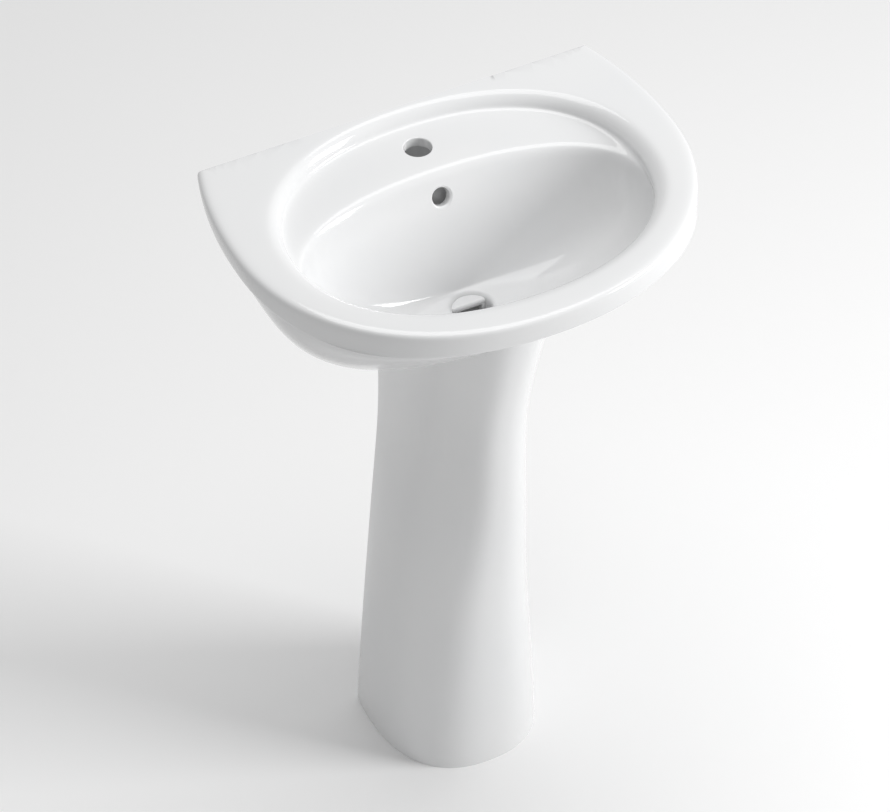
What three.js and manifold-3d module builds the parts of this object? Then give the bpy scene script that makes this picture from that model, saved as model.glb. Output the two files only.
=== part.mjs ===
// Pedestal sink: a wall-hung china basin on a hollow china pedestal, with its hidden fixings.
// Millimetres, +Z up, +X right, front at -Y. The model is laid out with the floor at z = 0 and
// the wall at y = 0, and the whole group is then moved so that its origin is under its middle.
import * as THREE from 'three';
import { mergeVertices } from 'three/addons/utils/BufferGeometryUtils.js';
import Module from 'manifold-3d';

const wasm = await Module();
wasm.setup();

// ---- Driving dimensions ----

// Overall
const RIM_HEIGHT = 860;
const BASIN_WIDTH = 550;
const BASIN_DEPTH = 400;
const CHINA = 12; // wall of the castings
const GAP = 0.3; // between pieces that touch

// Rim slab
const BACK_WIDTH = 502;
const WIDEST_FROM_WALL = 152;
const RIM_FRONT_THICKNESS = 40;
const RIM_BACK_THICKNESS = 29;
const RIM_FILLET = 10;
const RIM_TUCK = 8; // how far the edge band leans in towards its lower edge
const RIM_POWER = 2.12; // squareness of the front curve, 2 is an ellipse

// Body under the rim
const BODY_SIDE_INSET = 17; // from the rim's outline
const BODY_FRONT_INSET = 19;
const BODY_TOP = 36; // depth where its walls start to curve in
const BODY_CORNER_REACH = 70; // how far its oval would pass behind the wall plane, if it weren't cut there
const BODY_WIDEST_FROM_WALL = 170;
const BODY_DEPTH = 167; // from the deck to the underside of the belly
const BODY_POWER = 2.6;

// Recess and bowl
const RECESS_DEPTH = 18;
const RECESS_HALF_WIDTH = 215;
const RECESS_BACK = 17; // from the wall to the recess floor's back edge
const FRONT_RIM = 52; // from the rim's front to the bowl
const MOUTH_FILLET = 12;
const RECESS_POWER = 2.2;
const LEDGE_FRONT = 103; // from the wall to the ledge's front edge
const BOWL_DEPTH = 152;
const BOWL_FLOOR_RADIUS = 31; // flat floor about the waste hole
const BOWL_POWER = 2.3;

// Holes
const TAP_HOLE = 35;
const TAP_FROM_WALL = 57;
const OVERFLOW_HOLE = 22;
const OVERFLOW_DEPTH = 48;
const OVERFLOW_EDGE = 2.5; // flare of the hole's edge
const WASTE_HOLE = 46;
const WASTE_FROM_WALL = 193;
const WASTE_EDGE = 3;
const WASTE_BOSS_WALL = 13;
const WASTE_BOSS_DEPTH = 186;
const CHANNEL_WIDTH = 34;
const CHANNEL_THICKNESS = 12;
const SERVICE_WIDTH = 330; // opening in the underside, behind the bowl
const SERVICE_FRONT = 70;

// Pedestal
const FOOT_HALF_WIDTH = 102;
const FOOT_FRONT = 247; // from the wall
const WAIST_HALF_WIDTH = 66;
const WAIST_FRONT = 272;
const WAIST_HEIGHT = 480;
const HEAD_HALF_WIDTH = 86;
const HEAD_FRONT = 326;
const HEAD_FLARE_HEIGHT = 210; // the flare's height under the head
const HEAD_DEPTH = 80; // from the deck down to the top of the flare
const PEDESTAL_BACK = 76;
const PEDESTAL_WIDEST = 123; // from the wall
const PEDESTAL_POWER = 2.4;
const PEDESTAL_WALL = 11;
const LUG_LENGTH = 42; // floor lugs inside the foot's back corners
const LUG_WIDTH = 34;
const LUG_THICKNESS = 16;
const LUG_HOLE = 11;

// Seat and fixings
const BEAD_THICKNESS = 3;
const STUD_SPACING = 280;
const STUD_DEPTH = 75; // below the deck
const STUD_DIAMETER = 10;
const STUD_INSIDE = 46; // from the wall into the basin
const STUD_IN_WALL = 52;
const SLEEVE_WALL = 3;
const SLEEVE_COLLAR = 28;
const SLEEVE_COLLAR_THICKNESS = 3;
const WASHER_DIAMETER = 24;
const WASHER_THICKNESS = 2;
const NUT_ACROSS_FLATS = 17;
const NUT_THICKNESS = 8;
const PLUG_DIAMETER = 14;
const PLUG_LENGTH = 58;

// ---- Helpers ----

const SEGMENTS = 64;
const HALF_TURN = Math.PI;
const mix = (a, b, share) => a + (b - a) * share;
const level = (depth) => RIM_HEIGHT - depth;

/** Joins the vertices of a three.js geometry and drops the triangles that this closes up. */
function weld(geometry) {
  const bare = geometry.clone();
  bare.deleteAttribute('normal');
  bare.deleteAttribute('uv');
  const merged = mergeVertices(bare, 1e-4);
  const index = merged.index.array;
  const kept = [];
  for (let i = 0; i < index.length; i += 3) {
    const [a, b, c] = [index[i], index[i + 1], index[i + 2]];
    if (a !== b && b !== c && c !== a) kept.push(a, b, c);
  }
  merged.setIndex(kept);
  return merged;
}

/** A closed geometry as a solid that can be joined and cut. */
function solid(geometry) {
  const closed = weld(geometry);
  return new wasm.Manifold(new wasm.Mesh({
    numProp: 3,
    vertProperties: new Float32Array(closed.attributes.position.array),
    triVerts: new Uint32Array(closed.index.array),
  }));
}

/** A solid back as a three.js geometry. */
function geometryOf(shape) {
  const result = shape.getMesh();
  const geometry = new THREE.BufferGeometry();
  geometry.setAttribute('position', new THREE.BufferAttribute(result.vertProperties, 3));
  geometry.setIndex(new THREE.BufferAttribute(result.triVerts, 1));
  const flat = geometry.toNonIndexed();
  flat.computeVertexNormals();
  return flat;
}

/** An oval in plan: widest at `middle`, with its own reach to the back and to the front. */
const oval = ({ halfWidth, back, front, middle, power, z }) => ({
  centre: new THREE.Vector3(0, middle, z),
  at(turn) {
    const c = Math.cos(turn);
    const s = Math.sin(turn);
    const reach = s > 0 ? back - middle : middle - front;
    return new THREE.Vector3(
      halfWidth * Math.sign(c) * Math.abs(c) ** (2 / power),
      middle + reach * Math.sign(s) * Math.abs(s) ** (2 / power),
      z,
    );
  },
});

/** A closed solid skinned over sections, from the lowest to the highest. */
function skinned(sections, segments = SEGMENTS) {
  const last = sections.length - 1;
  const profile = [
    new THREE.Vector2(0, 0),
    ...sections.map((_, row) => new THREE.Vector2(1, row)),
    new THREE.Vector2(0, last),
  ];
  const geometry = new THREE.LatheGeometry(profile, segments);
  const position = geometry.attributes.position;
  const spot = new THREE.Vector3();
  for (let i = 0; i < position.count; i += 1) {
    spot.fromBufferAttribute(position, i);
    const section = sections[Math.round(spot.y)];
    const onAxis = Math.hypot(spot.x, spot.z) < 0.5;
    const placed = onAxis ? section.centre : section.at(Math.atan2(spot.x, spot.z));
    position.setXYZ(i, placed.x, placed.y, placed.z);
  }
  return solid(geometry);
}

/** A box between two corners. */
function box(low, high) {
  const size = high.map((value, axis) => value - low[axis]);
  const geometry = new THREE.BoxGeometry(...size);
  geometry.translate(...low.map((value, axis) => value + size[axis] / 2));
  return solid(geometry);
}

/** A lathed geometry about +Z from [radius, height] points that start and end on the axis. */
function turned(profile, segments = 32) {
  const points = profile.map(([radius, height]) => new THREE.Vector2(radius, height));
  return new THREE.LatheGeometry(points, segments).rotateX(HALF_TURN / 2);
}

/** A prism across the width, from its outline in the side view as [y, z] points. */
function sidePrism(outline, width) {
  const shape = new THREE.Shape(outline.map(([y, z]) => new THREE.Vector2(y, z)));
  const geometry = new THREE.ExtrudeGeometry(shape, { depth: width, bevelEnabled: false });
  geometry.translate(0, 0, -width / 2);
  geometry.applyMatrix4(new THREE.Matrix4().set(0, 0, 1, 0, 1, 0, 0, 0, 0, 1, 0, 0, 0, 0, 0, 1));
  return solid(geometry);
}

const wallSide = box([-BASIN_WIDTH, 0, 0], [BASIN_WIDTH, BASIN_DEPTH, RIM_HEIGHT * 1.5]);

// ---- Basin ----

/** The rim's outline: flat at the wall, gently bowed sides and a round front. */
const rimOutline = (share, inset, backInset) => ({
  centre: new THREE.Vector3(0, -BASIN_DEPTH / 2, level(share * RIM_FRONT_THICKNESS)),
  at(turn) {
    const half = BASIN_WIDTH / 2 - inset;
    const corner = BACK_WIDTH / 2 - inset;
    const bow = HALF_TURN / 4;
    let x;
    let y;
    if (turn <= 0) {
      const front = oval({
        halfWidth: half, back: 0, front: -BASIN_DEPTH + inset, middle: -WIDEST_FROM_WALL, power: RIM_POWER, z: 0,
      }).at(turn);
      x = front.x;
      y = front.y;
    } else if (turn < bow || turn > HALF_TURN - bow) {
      const along = (turn < bow ? turn : HALF_TURN - turn) / bow;
      x = mix(half, corner, along ** 2) * (turn < bow ? 1 : -1);
      y = mix(-WIDEST_FROM_WALL, -backInset, along);
    } else {
      x = mix(corner, -corner, (turn - bow) / (HALF_TURN - 2 * bow));
      y = -backInset;
    }
    const thickness = mix(RIM_BACK_THICKNESS, RIM_FRONT_THICKNESS, -y / BASIN_DEPTH);
    return new THREE.Vector3(x, y, level(share * thickness));
  },
});

function rim() {
  const fillet = [0, 1, 2, 3].map((step) => {
    const angle = (step / 3) * (HALF_TURN / 2);
    const share = (RIM_FILLET * (1 - Math.cos(angle))) / RIM_FRONT_THICKNESS;
    const inset = RIM_FILLET * (1 - Math.sin(angle));
    return rimOutline(share, inset, inset / 3);
  });
  const band = [[0.6, 0.25], [0.9, 0.85], [1, 1.3]].map(([share, lean]) => rimOutline(share, RIM_TUCK * lean, 0));
  return skinned([...fillet, ...band].reverse());
}

/** How much of its reach a curved wall keeps at a share of its depth. */
const taper = (share, power) => (1 - share ** power) ** (1 / power);

/** Sections of a bag-shaped form that closes on a round floor about the waste hole, grown all over or not. */
function bag({
  top, bottom, floor, halfWidth, back, front, middle, power, sideTaper, backTaper, frontTaper, grow = 0,
}) {
  const low = bottom + grow;
  const radius = floor + grow;
  const shares = [0, 0.2, 0.38, 0.55, 0.7, 0.82, 0.91, 0.97, 1];
  const sections = shares.map((share) => {
    const side = taper(share, sideTaper);
    return oval({
      halfWidth: mix(radius, halfWidth + grow, side),
      back: mix(-WASTE_FROM_WALL + radius, back + grow, taper(share, backTaper)),
      front: mix(-WASTE_FROM_WALL - radius, front - grow, taper(share, frontTaper)),
      middle: mix(-WASTE_FROM_WALL, middle, side),
      power,
      z: level(mix(top, low, share)),
    });
  });
  return sections.reverse();
}

const body = {
  top: BODY_TOP,
  bottom: BODY_DEPTH,
  floor: BOWL_FLOOR_RADIUS + CHINA,
  halfWidth: BASIN_WIDTH / 2 - BODY_SIDE_INSET,
  back: BODY_CORNER_REACH,
  front: -BASIN_DEPTH + BODY_FRONT_INSET,
  middle: -BODY_WIDEST_FROM_WALL,
  power: BODY_POWER,
  sideTaper: 2.2,
  backTaper: 2,
  frontTaper: 1.12,
};

const bowl = {
  top: RECESS_DEPTH,
  bottom: BOWL_DEPTH,
  floor: BOWL_FLOOR_RADIUS,
  halfWidth: RECESS_HALF_WIDTH,
  back: -LEDGE_FRONT,
  front: -BASIN_DEPTH + FRONT_RIM,
  middle: -(LEDGE_FRONT + BASIN_DEPTH - FRONT_RIM) / 2,
  power: BOWL_POWER,
  sideTaper: 2,
  backTaper: 1,
  frontTaper: 1.4,
};

/** A bag whose top section carries on straight up to a level under the deck. */
function bagTo(depth, form) {
  const sections = bag(form);
  const top = sections[sections.length - 1];
  const lift = level(depth) - top.centre.z;
  const raise = (spot) => new THREE.Vector3(spot.x, spot.y, spot.z + lift);
  return skinned([...sections, { centre: raise(top.centre), at: (turn) => raise(top.at(turn)) }]);
}

/** The shallow oval recess that holds the tap ledge. */
function recess(grow, flared) {
  const middle = -(RECESS_BACK + BASIN_DEPTH - FRONT_RIM) / 2;
  const ring = (spread, depth) => oval({
    halfWidth: RECESS_HALF_WIDTH + grow + spread,
    back: -RECESS_BACK + grow + spread,
    front: -BASIN_DEPTH + FRONT_RIM - grow - spread,
    middle,
    power: RECESS_POWER,
    z: level(depth),
  });
  const mouth = flared
    ? [0.25, 0.5, 0.75, 1].map((share) => {
      const angle = share * (HALF_TURN / 2);
      return ring(MOUTH_FILLET * (1 - Math.cos(angle)), MOUTH_FILLET * (1 - Math.sin(angle)));
    })
    : [ring(0, 1)];
  const above = flared ? [ring(MOUTH_FILLET, -RIM_FILLET)] : [];
  return skinned([ring(0, RECESS_DEPTH + grow), ...mouth, ...above]);
}

/** The bowl's sloping back wall in the side view, at a depth and a distance behind it. */
function bowlBack(depth, behind) {
  const share = (depth - bowl.top) / (bowl.bottom - bowl.top);
  const y = mix(-WASTE_FROM_WALL + bowl.floor, bowl.back, taper(share, bowl.backTaper));
  return [y + behind, level(depth)];
}

/** The overflow channel's outline in the side view: down behind the bowl, then forward to the waste hole. */
function channelOutline(thinner, thicker) {
  const depths = [OVERFLOW_DEPTH - OVERFLOW_HOLE / 2 - 3, 70, 95, 120];
  const front = depths.map((depth) => bowlBack(depth, CHINA + thinner));
  const rear = depths.map((depth) => bowlBack(depth, CHINA + CHANNEL_THICKNESS + thicker)).reverse();
  const floor = BOWL_DEPTH + CHINA + CHANNEL_THICKNESS + (thicker - thinner) / 4;
  const ceiling = BOWL_DEPTH + CHINA - 2;
  const corner = bowlBack(120, CHINA + CHANNEL_THICKNESS + thicker)[0];
  return [
    ...front,
    [bowlBack(140, CHINA + thinner)[0], level(ceiling)],
    [-WASTE_FROM_WALL, level(ceiling)],
    [-WASTE_FROM_WALL, level(floor)],
    [corner - CHANNEL_THICKNESS, level(floor)],
    [corner, level(floor - CHANNEL_THICKNESS)],
    ...rear.slice(1),
  ];
}

/** The overflow hole, square to the bowl's sloping back, from inside the bowl to the channel. */
function overflowHole() {
  const [y, z] = bowlBack(OVERFLOW_DEPTH, 0);
  const [lowerY, lowerZ] = bowlBack(OVERFLOW_DEPTH + 5, 0);
  const lean = Math.atan2(y - lowerY, z - lowerZ);
  const radius = OVERFLOW_HOLE / 2;
  const geometry = turned([
    [0, -CHINA - CHANNEL_THICKNESS / 2],
    [radius, -CHINA - CHANNEL_THICKNESS / 2],
    [radius, -OVERFLOW_EDGE],
    [radius + OVERFLOW_EDGE, 0.5],
    [radius + OVERFLOW_EDGE, CHINA],
    [0, CHINA],
  ]);
  geometry.rotateX(HALF_TURN / 2 - lean);
  geometry.translate(0, y, z);
  return solid(geometry);
}

function wasteHole() {
  const radius = WASTE_HOLE / 2;
  const geometry = turned([
    [0, level(WASTE_BOSS_DEPTH + 5)],
    [radius, level(WASTE_BOSS_DEPTH + 5)],
    [radius, level(BOWL_DEPTH + WASTE_EDGE)],
    [radius + WASTE_EDGE, level(BOWL_DEPTH)],
    [radius + WASTE_EDGE, level(BOWL_DEPTH - 1)],
    [0, level(BOWL_DEPTH - 1)],
  ]);
  geometry.translate(0, -WASTE_FROM_WALL, 0);
  return solid(geometry);
}

function wasteBoss() {
  const radius = WASTE_HOLE / 2 + WASTE_BOSS_WALL;
  const geometry = turned([
    [0, level(WASTE_BOSS_DEPTH)],
    [radius - 2, level(WASTE_BOSS_DEPTH)],
    [radius, level(WASTE_BOSS_DEPTH - 2)],
    [radius, level(BOWL_DEPTH - 4)],
    [0, level(BOWL_DEPTH - 4)],
  ]);
  geometry.translate(0, -WASTE_FROM_WALL, 0);
  return solid(geometry);
}

function tapHole() {
  const radius = TAP_HOLE / 2;
  const geometry = turned([
    [0, level(RECESS_DEPTH + CHINA * 2)],
    [radius, level(RECESS_DEPTH + CHINA * 2)],
    [radius, level(RECESS_DEPTH + 2)],
    [radius + 2, level(RECESS_DEPTH)],
    [radius + 2, level(RECESS_DEPTH - 1)],
    [0, level(RECESS_DEPTH - 1)],
  ]);
  geometry.translate(0, -TAP_FROM_WALL, 0);
  return solid(geometry);
}

/** The opening in the underside that gives a hand its way to the tap's and the studs' nuts. */
function serviceOpening() {
  const half = SERVICE_WIDTH / 2;
  const radius = 20;
  const [back, front] = [-CHINA, -SERVICE_FRONT];
  const shape = new THREE.Shape();
  shape.moveTo(-half + radius, front);
  shape.lineTo(half - radius, front);
  shape.absarc(half - radius, front + radius, radius, -HALF_TURN / 2, 0, false);
  shape.lineTo(half, back);
  shape.lineTo(-half, back);
  shape.lineTo(-half, front + radius);
  shape.absarc(-half + radius, front + radius, radius, HALF_TURN, HALF_TURN * 1.5, false);
  const height = BODY_DEPTH - RIM_FRONT_THICKNESS;
  const geometry = new THREE.ExtrudeGeometry(shape, { depth: height, bevelEnabled: false, curveSegments: 4 });
  geometry.translate(0, 0, level(BODY_DEPTH));
  return solid(geometry);
}

/** A hole across the back wall for one stud. */
function studHole(side) {
  const radius = STUD_DIAMETER / 2 + GAP + SLEEVE_WALL + GAP;
  const geometry = turned([[0, -CHINA * 2], [radius, -CHINA * 2], [radius, CHINA], [0, CHINA]], 24);
  geometry.rotateX(-HALF_TURN / 2);
  geometry.translate((side * STUD_SPACING) / 2, 0, level(STUD_DEPTH));
  return solid(geometry);
}

const belly = bagTo(RIM_BACK_THICKNESS / 2, body);

function basin() {
  const innerTop = RIM_BACK_THICKNESS / 2 - 1;
  const inside = bagTo(innerTop, { ...body, grow: -CHINA })
    .subtract(box([-BASIN_WIDTH, -CHINA, 0], [BASIN_WIDTH, BASIN_DEPTH, RIM_HEIGHT * 1.5]));
  const bowlShell = bagTo(innerTop - 1, { ...bowl, grow: CHINA }).add(recess(CHINA, false));
  const hollow = inside.subtract(bowlShell);
  const housing = sidePrism(channelOutline(-CHINA / 2, CHINA / 2), CHANNEL_WIDTH + CHINA);
  return rim()
    .add(belly)
    .subtract(hollow)
    .subtract(serviceOpening().subtract(bowlShell))
    .add(housing)
    .add(wasteBoss())
    .subtract(wallSide)
    .subtract(recess(0, true))
    .subtract(bagTo(RECESS_DEPTH - 4, bowl))
    .subtract(sidePrism(channelOutline(0, 0), CHANNEL_WIDTH))
    .subtract(overflowHole())
    .subtract(wasteHole())
    .subtract(tapHole())
    .subtract(studHole(-1))
    .subtract(studHole(1));
}

// ---- Pedestal ----

const ease = (share) => share * share * (3 - 2 * share);

const headTop = RIM_HEIGHT - HEAD_DEPTH;

/** The pedestal's section at a height, moved inward from its skin. */
function pedestalSection(height, inward) {
  const flareStart = headTop - HEAD_FLARE_HEIGHT;
  const rise = THREE.MathUtils.clamp(height / WAIST_HEIGHT, 0, 1);
  const flare = Math.max((height - flareStart) / HEAD_FLARE_HEIGHT, 0);
  const halfWidth = mix(FOOT_HALF_WIDTH, WAIST_HALF_WIDTH, rise ** 1.15)
    + (HEAD_HALF_WIDTH - WAIST_HALF_WIDTH) * flare ** 1.5;
  const front = mix(FOOT_FRONT, WAIST_FRONT, ease(Math.max(rise * 2 - 1, 0)))
    + (HEAD_FRONT - WAIST_FRONT) * flare ** 1.15;
  return oval({
    halfWidth: halfWidth - inward,
    back: -inward,
    front: -front + inward,
    middle: -PEDESTAL_WIDEST,
    power: PEDESTAL_POWER,
    z: height,
  });
}

/** The pedestal's form as a full solid, the wall thickness inside its skin or not. */
function pedestalForm(inward, low, high) {
  const steps = 13;
  const sections = [];
  for (let step = 0; step <= steps; step += 1) {
    sections.push(pedestalSection(mix(low, high, step / steps), inward));
  }
  return skinned(sections, 48);
}

const pedestalShell = pedestalForm(0, 0, headTop)
  .subtract(pedestalForm(PEDESTAL_WALL, -1, headTop + 1))
  .subtract(box([-BASIN_WIDTH, -PEDESTAL_BACK, -10], [BASIN_WIDTH, BASIN_DEPTH, RIM_HEIGHT]));

/** The belly moved down, to cut what stands under it. */
const bellyLowered = (drop) => bagTo(RIM_BACK_THICKNESS / 2, {
  ...body, top: body.top + drop, bottom: body.bottom + drop,
});

/** One floor lug in a back corner of the foot, with its screw hole. */
function floorLug(side) {
  const inner = FOOT_HALF_WIDTH - LUG_WIDTH;
  const x = [side * inner, side * FOOT_HALF_WIDTH].sort((a, b) => a - b);
  const lug = box(
    [x[0], -PEDESTAL_BACK - LUG_LENGTH, 0],
    [x[1], -PEDESTAL_BACK, LUG_THICKNESS],
  ).intersect(pedestalForm(1, 0, headTop));
  const hole = solid(turned([
    [0, -1], [LUG_HOLE / 2, -1], [LUG_HOLE / 2, LUG_THICKNESS + 1], [0, LUG_THICKNESS + 1],
  ], 16).translate(side * (inner + LUG_WIDTH / 3), -PEDESTAL_BACK - LUG_LENGTH / 2, 0));
  return lug.subtract(hole);
}

function pedestal() {
  return pedestalShell
    .subtract(bellyLowered(GAP + BEAD_THICKNESS + GAP))
    .add(floorLug(-1))
    .add(floorLug(1));
}

/** The bead of silicone rubber between the pedestal's top edge and the belly. */
function seatBead() {
  return pedestalShell
    .intersect(bellyLowered(GAP + BEAD_THICKNESS))
    .subtract(bellyLowered(GAP));
}

// ---- Fixings, laid out along an axis that runs from inside the basin (-) into the wall (+) ----

const collarAt = -CHINA - GAP;
const washerAt = collarAt - SLEEVE_COLLAR_THICKNESS - GAP;
const nutAt = washerAt - WASHER_THICKNESS - GAP;
const boltRadius = STUD_DIAMETER / 2;

/** A ring profile about the stud, from its hole out and back. */
function ring(hole, outer, from, to, chamfer = 0) {
  return [
    [hole, from], [outer - chamfer, from], [outer, from + chamfer],
    [outer, to - chamfer], [outer - chamfer, to], [hole, to], [hole, from],
  ];
}

function studGeometry() {
  const core = boltRadius - 1;
  const profile = [[0, -STUD_INSIDE], [core, -STUD_INSIDE], [boltRadius, -STUD_INSIDE + 1], [boltRadius, 4]];
  const pitch = 5;
  for (let y = 6; y < STUD_IN_WALL - 2 * pitch; y += pitch) {
    profile.push([core, y], [boltRadius, y + pitch / 2]);
  }
  profile.push([core, STUD_IN_WALL - 2 * pitch], [0, STUD_IN_WALL]);
  return turned(profile, 12);
}

function sleeveGeometry() {
  const hole = boltRadius + GAP;
  const tube = hole + SLEEVE_WALL;
  const collarFace = collarAt - SLEEVE_COLLAR_THICKNESS;
  return turned([
    [hole, collarFace], [SLEEVE_COLLAR / 2 - 1, collarFace], [SLEEVE_COLLAR / 2, collarFace + 1],
    [SLEEVE_COLLAR / 2, collarAt], [tube, collarAt], [tube, -1], [hole, -1], [hole, collarFace],
  ], 20);
}

const washerGeometry = () => turned(
  ring(boltRadius + GAP, WASHER_DIAMETER / 2, washerAt - WASHER_THICKNESS, washerAt),
  20,
);

function nutGeometry() {
  const shape = new THREE.Shape();
  const corner = NUT_ACROSS_FLATS / 2 / Math.cos(HALF_TURN / 6);
  for (let side = 0; side < 6; side += 1) {
    const angle = (side * HALF_TURN) / 3;
    const spot = [corner * Math.cos(angle), corner * Math.sin(angle)];
    if (side === 0) shape.moveTo(...spot);
    else shape.lineTo(...spot);
  }
  shape.closePath();
  const hole = new THREE.Path();
  hole.absarc(0, 0, boltRadius + GAP, 0, HALF_TURN * 2, true);
  shape.holes.push(hole);
  const bevel = 0.8;
  return new THREE.ExtrudeGeometry(shape, {
    depth: NUT_THICKNESS - 2 * bevel, bevelThickness: bevel, bevelSize: bevel, bevelOffset: -bevel,
    bevelSegments: 1, curveSegments: 14,
  }).translate(0, 0, nutAt - NUT_THICKNESS + bevel);
}

function plugGeometry() {
  const hole = boltRadius + GAP;
  const outer = PLUG_DIAMETER / 2;
  const profile = [[hole, GAP], [outer, GAP], [outer, 10]];
  for (let y = 12; y < PLUG_LENGTH - 10; y += 8) {
    profile.push([outer - 0.8, y], [outer - 0.8, y + 3], [outer, y + 4]);
  }
  profile.push([outer - 1.5, PLUG_LENGTH], [hole, PLUG_LENGTH], [hole, GAP]);
  return turned(profile, 14);
}

// ---- Materials ----

const glaze = () => new THREE.MeshStandardMaterial({ color: 0xf1f2f2, roughness: 0.08, metalness: 0 });
const silicone = () => new THREE.MeshStandardMaterial({ color: 0xe9e9e6, roughness: 0.45, metalness: 0 });
const nylon = () => new THREE.MeshStandardMaterial({ color: 0xdcdcd6, roughness: 0.5, metalness: 0 });
const plugNylon = () => new THREE.MeshStandardMaterial({ color: 0x9da1a4, roughness: 0.6, metalness: 0 });
const zinc = () => new THREE.MeshStandardMaterial({ color: 0xb9bcbe, roughness: 0.35, metalness: 1 });

// ---- Assembly ----

const sink = new THREE.Group();
const fromWall = new THREE.Group();
sink.add(fromWall);
fromWall.position.y = (BASIN_DEPTH - PLUG_LENGTH) / 2;

function place(name, geometry, material, parent = fromWall) {
  const mesh = new THREE.Mesh(geometry, material);
  mesh.name = name;
  parent.add(mesh);
}

place('basin', geometryOf(basin()), glaze());
place('pedestal', geometryOf(pedestal()), glaze());
place('seat_bead', geometryOf(seatBead()), silicone());

for (const [side, label] of [[-1, 'left'], [1, 'right']]) {
  const station = new THREE.Group();
  station.position.set((side * STUD_SPACING) / 2, 0, level(STUD_DEPTH));
  station.rotation.x = -HALF_TURN / 2;
  fromWall.add(station);
  place(`wall_stud_${label}`, studGeometry(), zinc(), station);
  place(`wall_sleeve_${label}`, sleeveGeometry(), nylon(), station);
  place(`wall_washer_${label}`, washerGeometry(), zinc(), station);
  place(`wall_nut_${label}`, nutGeometry(), zinc(), station);
  place(`wall_plug_${label}`, plugGeometry(), plugNylon(), station);
}

export default sink;
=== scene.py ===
"""A pedestal sink, piece by piece in the order in which a plumber puts it together."""
import math

import bmesh
import bpy
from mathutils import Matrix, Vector


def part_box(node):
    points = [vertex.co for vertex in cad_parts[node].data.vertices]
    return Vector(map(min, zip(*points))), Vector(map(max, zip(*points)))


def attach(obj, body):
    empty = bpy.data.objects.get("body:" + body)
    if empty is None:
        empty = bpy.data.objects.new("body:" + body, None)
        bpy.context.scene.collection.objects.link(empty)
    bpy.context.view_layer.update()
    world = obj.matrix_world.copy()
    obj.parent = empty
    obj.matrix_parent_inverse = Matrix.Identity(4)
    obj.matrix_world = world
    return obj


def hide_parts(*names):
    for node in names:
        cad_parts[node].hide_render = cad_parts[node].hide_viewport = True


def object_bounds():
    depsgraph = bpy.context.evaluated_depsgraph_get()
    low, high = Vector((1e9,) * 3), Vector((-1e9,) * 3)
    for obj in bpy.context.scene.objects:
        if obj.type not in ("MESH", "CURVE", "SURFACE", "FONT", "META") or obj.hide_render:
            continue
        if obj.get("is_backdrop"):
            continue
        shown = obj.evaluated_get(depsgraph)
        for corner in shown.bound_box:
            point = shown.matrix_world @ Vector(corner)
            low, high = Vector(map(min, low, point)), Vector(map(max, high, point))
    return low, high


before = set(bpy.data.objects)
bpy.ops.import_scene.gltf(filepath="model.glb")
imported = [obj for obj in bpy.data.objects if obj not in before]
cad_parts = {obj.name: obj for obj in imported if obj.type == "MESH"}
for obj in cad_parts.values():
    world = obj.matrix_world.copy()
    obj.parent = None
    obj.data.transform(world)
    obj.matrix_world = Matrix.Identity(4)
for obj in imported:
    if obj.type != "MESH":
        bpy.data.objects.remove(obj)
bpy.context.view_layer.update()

# ---- Wall plugs ----
# Two grey nylon plugs, moulded with barbs round them and a slot that lets their end spread. They
# are pushed into holes drilled in the wall, and grip it when the studs are screwed in.

MM = 0.001
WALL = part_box("basin")[1].y  # the wall's plane: a reach is a distance in front of it
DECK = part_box("basin")[1].z  # the basin's flat top: a depth is a distance under it
STUD_ACROSS, STUD_DEPTH = 140, 75
SIDES = {"left": -STUD_ACROSS, "right": STUD_ACROSS}
STUD_RADIUS = 5
CLEARANCE = 0.3


def srgb(code):
    """A colour's sRGB hex code as linear light."""
    parts = [int(code[i:i + 2], 16) / 255 for i in (1, 3, 5)]
    return (*[c / 12.92 if c <= 0.04045 else ((c + 0.055) / 1.055) ** 2.4 for c in parts], 1)


def node(tree, kind, inputs=None, **settings):
    """Adds a shader node with its settings, and links or fills its inputs."""
    made = tree.nodes.new(kind)
    for name, value in settings.items():
        setattr(made, name, value)
    for name, value in (inputs or {}).items():
        if isinstance(value, bpy.types.NodeSocket):
            tree.links.new(value, made.inputs[name])
        else:
            made.inputs[name].default_value = value
    return made


def per_mm(size):
    """The texture scale that gives a pattern a size in millimetres."""
    return 1 / (size * MM)


def material(name):
    """A new node material, with its tree, its shader and the object's own coordinates."""
    made = bpy.data.materials.new(name)
    made.use_nodes = True
    tree = made.node_tree
    return made, tree, tree.nodes["Principled BSDF"], node(tree, "ShaderNodeTexCoord").outputs["Object"]


def moulded_nylon(name, dark, light):
    """Injection-moulded nylon: a dull plastic whose tone clouds a little where the melt has flowed."""
    made, tree, shader, place = material(name)
    flow = node(tree, "ShaderNodeTexNoise", {"Vector": place, "Scale": per_mm(6), "Detail": 3.0})
    tone = node(tree, "ShaderNodeMix", {
        "Factor": flow.outputs["Fac"], "A": srgb(dark), "B": srgb(light),
    }, data_type="RGBA")
    grain = node(tree, "ShaderNodeTexNoise", {"Vector": place, "Scale": per_mm(0.6)})
    bump = node(tree, "ShaderNodeBump", {
        "Height": grain.outputs["Fac"], "Strength": 0.2, "Distance": 0.1 * MM,
    })
    tree.links.new(tone.outputs["Result"], shader.inputs["Base Color"])
    tree.links.new(bump.outputs["Normal"], shader.inputs["Normal"])
    shader.inputs["Roughness"].default_value = 0.5
    shader.inputs["IOR"].default_value = 1.53
    return made


def make_active(piece):
    bpy.ops.object.select_all(action="DESELECT")
    piece.select_set(True)
    bpy.context.view_layer.objects.active = piece


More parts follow.
